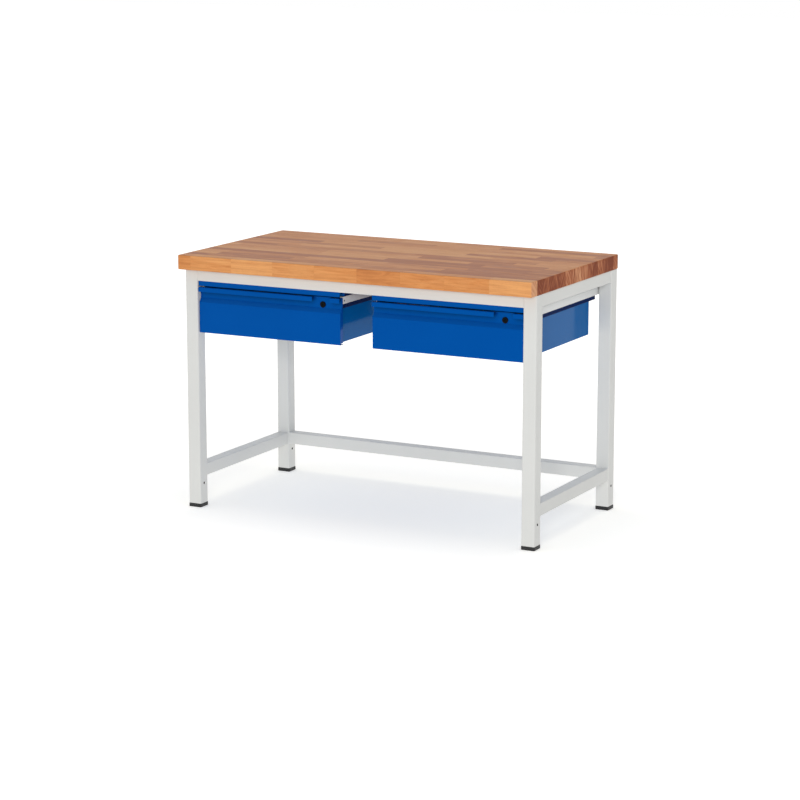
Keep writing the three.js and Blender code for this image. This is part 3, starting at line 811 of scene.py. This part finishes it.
def bent_path(points, radius, steps=BEND_STEPS):
    """The path with each corner turned into an arc; gives [place, rightward normal] pairs."""
    spots = [Vector(p) for p in points]
    rights = []
    for a, b in zip(spots, spots[1:]):
        along = (b - a).normalized()
        rights.append(Vector((along.y, -along.x)))
    path = [(spots[0], rights[0])]
    for i in range(1, len(spots) - 1):
        before, after = rights[i - 1], rights[i]
        turn = before.angle_signed(after)
        side = 1 if turn > 0 else -1
        centre = spots[i] + (before + after) * side * radius / (1 + before.dot(after))
        for step in range(steps + 1):
            share = step / steps
            normal = (before * sin((1 - share) * abs(turn)) + after * sin(share * abs(turn))) / sin(abs(turn))
            path.append((centre - normal * side * radius, normal))
    path.append((spots[-1], rights[-1]))
    return path


def thick_sheet(bm, path, thickness, stations, present=lambda i, j: True):
    """A bent sheet drawn out along X; cells of the sheet that aren't present are left open."""
    cells = {(i, j) for i in range(len(path) - 1) for j in range(len(stations) - 1) if present(i, j)}
    made = {}

    def vert(i, j, back):
        if (i, j, back) not in made:
            spot, normal = path[i]
            y, z = spot + normal * (thickness if back else 0)
            made[i, j, back] = bm.verts.new((stations[j], y, z))
        return made[i, j, back]

    for i, j in cells:
        square = [(i, j), (i + 1, j), (i + 1, j + 1), (i, j + 1)]
        beside = [(i, j - 1), (i + 1, j), (i, j + 1), (i - 1, j)]
        bm.faces.new([vert(*c, False) for c in square])
        bm.faces.new([vert(*c, True) for c in reversed(square)])
        for side, neighbour in enumerate(beside):
            if neighbour not in cells:
                a, b = square[side], square[(side + 1) % 4]
                bm.faces.new([vert(*b, False), vert(*a, False), vert(*a, True), vert(*b, True)])


def plate(bm, outline, x0, x1):
    """A flat plate of [y, z] points between two places on X."""
    sides = [[bm.verts.new((x, y, z)) for y, z in outline] for x in (x0, x1)]
    bm.faces.new(sides[0])
    bm.faces.new(list(reversed(sides[1])))
    for i in range(len(outline)):
        j = (i + 1) % len(outline)
        bm.faces.new((sides[0][i], sides[0][j], sides[1][j], sides[1][i]))


def make_drawer_front(drawer):
    """Folded front: a panel, a slanted grip, a lip that is cut away round the lock, and two side returns."""
    node = f"{drawer}_drawer_front"
    low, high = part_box(node)
    lock = centre_line(f"{drawer}_lock_barrel", "y")
    panel_y = low.y + LIP_PROUD
    wall_y = panel_y + GRIP_DEPTH
    wall_bottom = high.z - GRIP_WALL_HEIGHT
    panel_top = wall_bottom - SLANT_HEIGHT
    corners = [
        (high.y, low.z),
        (panel_y, low.z),
        (panel_y, panel_top),
        (wall_y, wall_bottom),
        (wall_y, high.z - SHEET),
        (low.y + SHEET, high.z - SHEET),
        (low.y + SHEET, high.z - LIP_HEIGHT),
    ]
    path = bent_path(corners, BEND)
    stub = wall_y - LIP_STUB
    stub_at = max(i for i in range(1, len(path)) if path[i - 1][0].x > stub)
    path.insert(stub_at, (Vector((stub, high.z - SHEET)), path[stub_at][1].copy()))
    stations = [low.x, lock.x - LOCK_CUT_WIDTH / 2, lock.x + LOCK_CUT_WIDTH / 2, high.x]
    bm = bmesh.new()
    thick_sheet(bm, path, SHEET, stations, lambda i, j: j != 1 or i < stub_at)

    behind = panel_y + SHEET
    rear = panel_y + SIDE_RETURN
    slope = SHEET * GRIP_DEPTH / SLANT_HEIGHT
    outline = [
        (behind, low.z + SIDE_RETURN_LIFT),
        (behind, panel_top - slope),
        (wall_y + SHEET, wall_bottom - slope),
        (wall_y + SHEET, high.z - SHEET),
        (rear, high.z - SHEET),
        (rear, low.z + SIDE_RETURN_LIFT),
    ]
    plate(bm, outline, low.x, low.x + SHEET)
    plate(bm, outline, high.x - SHEET, high.x)
    front = as_object(f"{drawer}_folded_front", bm)
    hole = bmesh.new()
    bar(hole, LOCK_BODY_D + 2 * EDGE_BREAK, "y", lock, wall_y - SHEET, wall_y + 2 * SHEET, ROUND_STEPS)
    cut(front, hole)
    dress(front, f"{drawer}_drawer", "drawer_blue", node, eased=True)


def make_front_strip(drawer):
    """Folded strip above a drawer, bolted up through its top."""
    node = f"{drawer}_front_strip"
    low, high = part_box(node)
    corners = [(low.y, low.z), (low.y, high.z), (high.y, high.z), (high.y, low.z)]
    bm = bmesh.new()
    thick_sheet(bm, bent_path(corners, BEND), SHEET, [low.x, high.x])
    strip = as_object(f"{drawer}_folded_strip", bm)
    holes = bmesh.new()
    for hand, _ in HANDS:
        centre = centre_line(f"{drawer}_strip_bolt_{hand}", "z")
        bar(holes, BOLT_D + 2 * EDGE_BREAK, "z", centre, high.z - 2 * SHEET, high.z + SHEET)
    cut(strip, holes)
    dress(strip, "frame", "drawer_blue", node, eased=True)


def make_roller(drawer, place, hand):
    """Roller with eased edges and a shallow groove round its middle."""
    node = f"{drawer}_{place}_roller_{hand}"
    low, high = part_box(node)
    radius = (high.z - low.z) / 2
    width = high.x - low.x
    bore = round_ring(ROLLER_BORE / 2)
    full = round_ring(radius)
    eased = round_ring(radius - ROLLER_EDGE)
    half = [
        (bore, width / 2),
        (eased, width / 2),
        (full, width / 2 - ROLLER_EDGE),
        (full, width * ROLLER_GROOVE_TOP),
        (round_ring(radius - ROLLER_GROOVE), width * ROLLER_GROOVE_FLOOR),
    ]
    rings = [(ring, -out) for ring, out in half] + [(ring, out) for ring, out in reversed(half)]
    bm = bmesh.new()
    loft(bm, rings, "x", middle(node), closed=True)
    dress(as_object(f"{node}_turned", bm), f"{drawer}_{place}_wheel_{hand}", "nylon", node)


def make_rivet_hole_shade(drawer, hand, side):
    """Black end of a front roller's rivet, on the outside of the runner: painted shade of the rivet's hole."""
    low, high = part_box(f"{drawer}_runner_{hand}")
    web = low.x if side < 0 else high.x
    step = AXLE_END_PROUD / 2
    full = round_ring(AXLE_END_D / 2)
    eased = round_ring(AXLE_END_D / 2 - step)
    rings = [(full, web), (full, web + side * step), (eased, web + side * AXLE_END_PROUD)]
    bm = bmesh.new()
    loft(bm, rings[::side], "x", centre_line(f"{drawer}_front_roller_{hand}", "x"))
    dress(as_object(f"{drawer}_axle_end_{hand}", bm), "frame", "black_plastic")


def make_slide_hem(drawer, hand, side):
    """Folded lower edge of a slide, along the tray's side."""
    low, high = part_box(f"{drawer}_slide_{hand}")
    inner = high.x if side < 0 else low.x
    half_u, half_v = SLIDE_HEM_SHEET / 2, SLIDE_HEM_HEIGHT / 2
    centre = (inner + side * half_u, 0, low.z + SLIDE_HEM_LAP - half_v)
    section = rounded_ring(half_u, half_v, half_u * SLIDE_HEM_ROUND, SMALL_CORNER_STEPS)
    bm = bmesh.new()
    loft(bm, [(section, low.y + EDGE_BREAK), (section, high.y - EDGE_BREAK)], "y", centre)
    dress(as_object(f"{drawer}_slide_hem_{hand}", bm), f"{drawer}_drawer", "slide_blue")


def make_bolt(node):
    """Hexagon bolt with a flange under its head, head down."""
    low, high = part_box(node)
    across = max(high.x - low.x, high.y - low.y)
    seat = low.z + BOLT_HEAD_HEIGHT
    hexagon = hexagon_ring(across * BOLT_HEXAGON)
    flange = round_ring((high.x - low.x) / 2, FASTENER_STEPS)
    shank = round_ring(BOLT_D / 2, FASTENER_STEPS)
    rings = [
        (round_ring(across * BOLT_FACE, FASTENER_STEPS), low.z),
        (round_ring(across * BOLT_CHAMFER, FASTENER_STEPS), low.z + EDGE_BREAK),
        (hexagon, low.z + 2 * EDGE_BREAK),
        (hexagon, seat - BOLT_FLANGE),
        (flange, seat - BOLT_FLANGE),
        (flange, seat),
        (shank, seat),
        (shank, high.z - EDGE_BREAK),
        (round_ring(BOLT_D / 2 - EDGE_BREAK, FASTENER_STEPS), high.z),
    ]
    bm = bmesh.new()
    loft(bm, rings, "z", centre_line(node, "z"))
    dress(as_object(f"{node}_hex", bm), "frame", "zinc_steel", node)


def make_screw(node):
    """Pan-head wood screw with a cross recess, head down."""
    low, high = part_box(node)
    centre = centre_line(node, "z")
    head = (high.x - low.x) / 2
    seat = low.z + SCREW_HEAD_HEIGHT
    shank = round_ring(SCREW_D / 2, FASTENER_STEPS)
    rings = []
    for share in SCREW_DOME:
        rise = SCREW_HEAD_HEIGHT * SCREW_DOME_RISE * share ** SCREW_DOME_POWER
        rings.append((round_ring(head * share, FASTENER_STEPS), low.z + rise))
    rings += [(round_ring(head, FASTENER_STEPS), seat), (shank, seat)]
    rings += [(shank, high.z - SCREW_D), (round_ring(EDGE_BREAK, FASTENER_STEPS), high.z)]
    bm = bmesh.new()
    loft(bm, rings, "z", centre)
    screw = as_object(f"{node}_pan_head", bm)

    mouth = (head * RECESS_ARM, RECESS_SLOT)
    floor = (mouth[0] * RECESS_ARM_TAPER, mouth[1] * RECESS_SLOT_TAPER)
    corner = RECESS_SLOT / 4
    for order in (1, -1):
        recess = bmesh.new()
        loft(recess, [
            (rounded_ring(*mouth[::order], corner, RECESS_CORNER_STEPS), low.z - SHEET),
            (rounded_ring(*floor[::order], corner, RECESS_CORNER_STEPS), low.z + RECESS_DEPTH),
        ], "z", centre)
        cut(screw, recess)
    dress(screw, "frame", "zinc_steel", node)


def make_lock_barrel(drawer, centre):
    """Barrel with a rounded flange in front of the sheet."""
    barrel = f"{drawer}_lock_barrel"
    low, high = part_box(barrel)
    flange = (high.x - low.x) / 2
    bore = round_ring(LOCK_BORE_D / 2)
    body = round_ring(LOCK_BODY_D / 2)
    rings = [(bore, low.y + EDGE_BREAK), (round_ring(LOCK_BORE_D / 2 + EDGE_BREAK), low.y)]
    for inset, depth in LOCK_RIM:
        rings.append((round_ring(flange - inset * LOCK_FLANGE_EDGE), low.y + depth * LOCK_FLANGE_EDGE))
    rings += [(round_ring(flange), low.y + LOCK_FLANGE), (body, low.y + LOCK_FLANGE)]
    rings += [(body, high.y), (bore, high.y)]
    bm = bmesh.new()
    loft(bm, rings, "y", centre, closed=True)
    dress(as_object(f"{barrel}_turned", bm), f"{drawer}_drawer", "lock_black", barrel)


def make_lock_nut(drawer, centre):
    nut = f"{drawer}_lock_nut"
    low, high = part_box(nut)
    across = max(high.x - low.x, high.z - low.z)
    hexagon = hexagon_ring(across, NUT_STEPS)
    face = hexagon_ring(across * NUT_FACE, NUT_STEPS)
    inside = round_ring(LOCK_BODY_D / 2 + EDGE_BREAK, NUT_STEPS)
    rings = [(inside, low.y), (hexagon, low.y), (hexagon, high.y - 3 * EDGE_BREAK)]
    rings += [(face, high.y), (inside, high.y)]
    bm = bmesh.new()
    loft(bm, rings, "y", centre, closed=True)
    dress(as_object(f"{nut}_hex", bm), f"{drawer}_drawer", "zinc_steel", nut)


def make_lock_plug(drawer, centre):
    """Plug with its keyway, and the cam on its rear end."""
    plug = f"{drawer}_lock_plug"
    low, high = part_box(plug)
    start, end = low.y, high.y - CAM_SHEET / 2
    full = round_ring(PLUG_D / 2, FASTENER_STEPS)
    eased = round_ring(PLUG_D / 2 - EDGE_BREAK, FASTENER_STEPS)
    bm = bmesh.new()
    loft(bm, [(eased, start), (full, start + EDGE_BREAK), (full, end - EDGE_BREAK), (eased, end)], "y", centre)
    turned = as_object(f"{plug}_turned", bm)
    keyway = bmesh.new()
    ring = rounded_ring(KEYWAY_WIDTH / 2, KEYWAY_HEIGHT / 2, KEYWAY_WIDTH / 4, SMALL_CORNER_STEPS)
    loft(keyway, [(ring, low.y - SHEET), (ring, low.y + KEYWAY_DEPTH)], "y", centre)
    cut(turned, keyway)
    dress(turned, f"{drawer}_lock", "lock_black", plug)

    half_length, half_height = (high.x - low.x) / 2, (high.z - low.z) / 2
    ring = rounded_ring(half_length, half_height, half_height * CAM_CORNER)
    bm = bmesh.new()
    loft(bm, [(ring, high.y - CAM_SHEET), (ring, high.y)], "y", (middle(plug).x, 0, centre.z))
    dress(as_object(f"{plug}_cam", bm), f"{drawer}_lock", "zinc_steel", eased=True)


def make_lock(drawer):
    centre = centre_line(f"{drawer}_lock_barrel", "y")
    make_lock_barrel(drawer, centre)
    make_lock_nut(drawer, centre)
    make_lock_plug(drawer, centre)


def make_drawer(drawer):
    make_drawer_front(drawer)
    make_front_strip(drawer)
    make_lock(drawer)
    carry_over(f"{drawer}_drawer_tray", "tray_blue_with_painted_light")
    for hand, side in HANDS:
        for place in ("front", "rear"):
            make_roller(drawer, place, hand)
        make_rivet_hole_shade(drawer, hand, side)
        make_slide_hem(drawer, hand, side)
        for kind in ("strip", "hanger"):
            make_bolt(f"{drawer}_{kind}_bolt_{hand}")
        carry_over(f"{drawer}_hanger_{hand}", "slide_blue")
        carry_over(f"{drawer}_runner_{hand}", "runner_steel")
        carry_over(f"{drawer}_slide_{hand}", "slide_blue")


def seen_directly(tree):
    """1 for rays from the camera, through clear pieces and off shiny faces, and 0 for spread light."""
    path = add(tree, "LightPath").outputs
    seen = calc(tree, "MAXIMUM", path["Is Camera Ray"], path["Is Transmission Ray"])
    return calc(tree, "MAXIMUM", seen, path["Is Glossy Ray"])


def glow_of(tree, strength):
    return add(tree, "Emission", {"Color": opaque(WHITE), "Strength": strength}).outputs[0]


def make_floor():
    """Pale floor that keeps the shadow and is white in the open; it gives the bench an even light."""
    bm = bmesh.new()
    bmesh.ops.create_grid(bm, x_segments=FLOOR_SQUARES, y_segments=FLOOR_SQUARES, size=FLOOR_SIZE / 2)
    floor = as_object("floor", bm)
    material = bpy.data.materials.new("pale_floor")
    material.use_nodes = True
    tree = material.node_tree
    tree.nodes.clear()
    place = add(tree, "NewGeometry").outputs["Position"]
    away = add(tree, "VectorMath", {0: place}, operation="LENGTH").outputs["Value"]
    near_glow = FLOOR_WHITE - FLOOR_COLOUR[0] * FLOOR_NEAR_LIGHT
    far_glow = FLOOR_WHITE - FLOOR_COLOUR[0] * FLOOR_FAR_LIGHT
    glow = glow_of(tree, remap(tree, away, (FLOOR_NEAR, FLOOR_FAR), near_glow, far_glow))
    diffuse = add(tree, "BsdfDiffuse", {"Color": opaque(FLOOR_COLOUR)}).outputs[0]
    looks = add(tree, "AddShader", {0: diffuse, 1: glow}).outputs[0]
    gives = glow_of(tree, FLOOR_GIVES)
    both = add(tree, "MixShader", {0: seen_directly(tree), 1: gives, 2: looks}).outputs[0]
    add(tree, "OutputMaterial", {"Surface": both})
    floor.data.materials.append(material)
    return floor


def softbox(name, place, aim, size, power):
    data = bpy.data.lights.new(name, "AREA")
    data.shape = "RECTANGLE"
    data.size, data.size_y = size
    data.energy = power
    lamp = bpy.data.objects.new(name, data)
    lamp.location = place
    lamp.rotation_euler = (Vector(aim) - Vector(place)).to_track_quat("-Z", "Y").to_euler()
    bpy.context.scene.collection.objects.link(lamp)
    return lamp


def make_studio(floor):
    """White surroundings, whose light fades towards the horizon and the right, and two lamps."""
    world = bpy.data.worlds.new("studio")
    bpy.context.scene.world = world
    world.use_nodes = True
    tree = world.node_tree
    tree.nodes.clear()
    sideways, _, height = separate(tree, add(tree, "TexCoord").outputs["Generated"])
    level = remap(tree, height, (0.0, 1.0), SKY_LOW, SKY_HIGH)
    fade = remap(tree, sideways, (-1.0, 1.0), 1 + SKY_SIDE, 1 - SKY_SIDE)
    strength = remap(tree, seen_directly(tree), (0.0, 1.0), calc(tree, "MULTIPLY", level, fade), SKY_SEEN)
    sky = add(tree, "Background", {"Color": opaque(WHITE), "Strength": strength}).outputs[0]
    add(tree, "OutputWorld", {"Surface": sky})

    softbox("key_softbox", **KEY_LAMP)
    floor_lamp = softbox("overhead_softbox", **FLOOR_LAMP)
    floor_only = bpy.data.collections.new("floor_only")
    floor_only.objects.link(floor)
    floor_lamp.light_linking.receiver_collection = floor_only


def make_camera():
    data = bpy.data.cameras.new("camera")
    data.lens = CAMERA_LENS
    camera = bpy.data.objects.new("camera", data)
    camera.location = CAMERA_PLACE
    camera.rotation_euler = CAMERA_TURN
    bpy.context.scene.collection.objects.link(camera)
    bpy.context.scene.camera = camera


bpy.context.scene.view_settings.view_transform = "Standard"
make_camera()
make_studio(make_floor())
make_worktop()
make_legs()
make_feet()
make_rails()
make_welds()
for side in SIDES:
    make_screw(f"{side}_worktop_screw")
for drawer in DRAWERS:
    make_drawer(drawer)
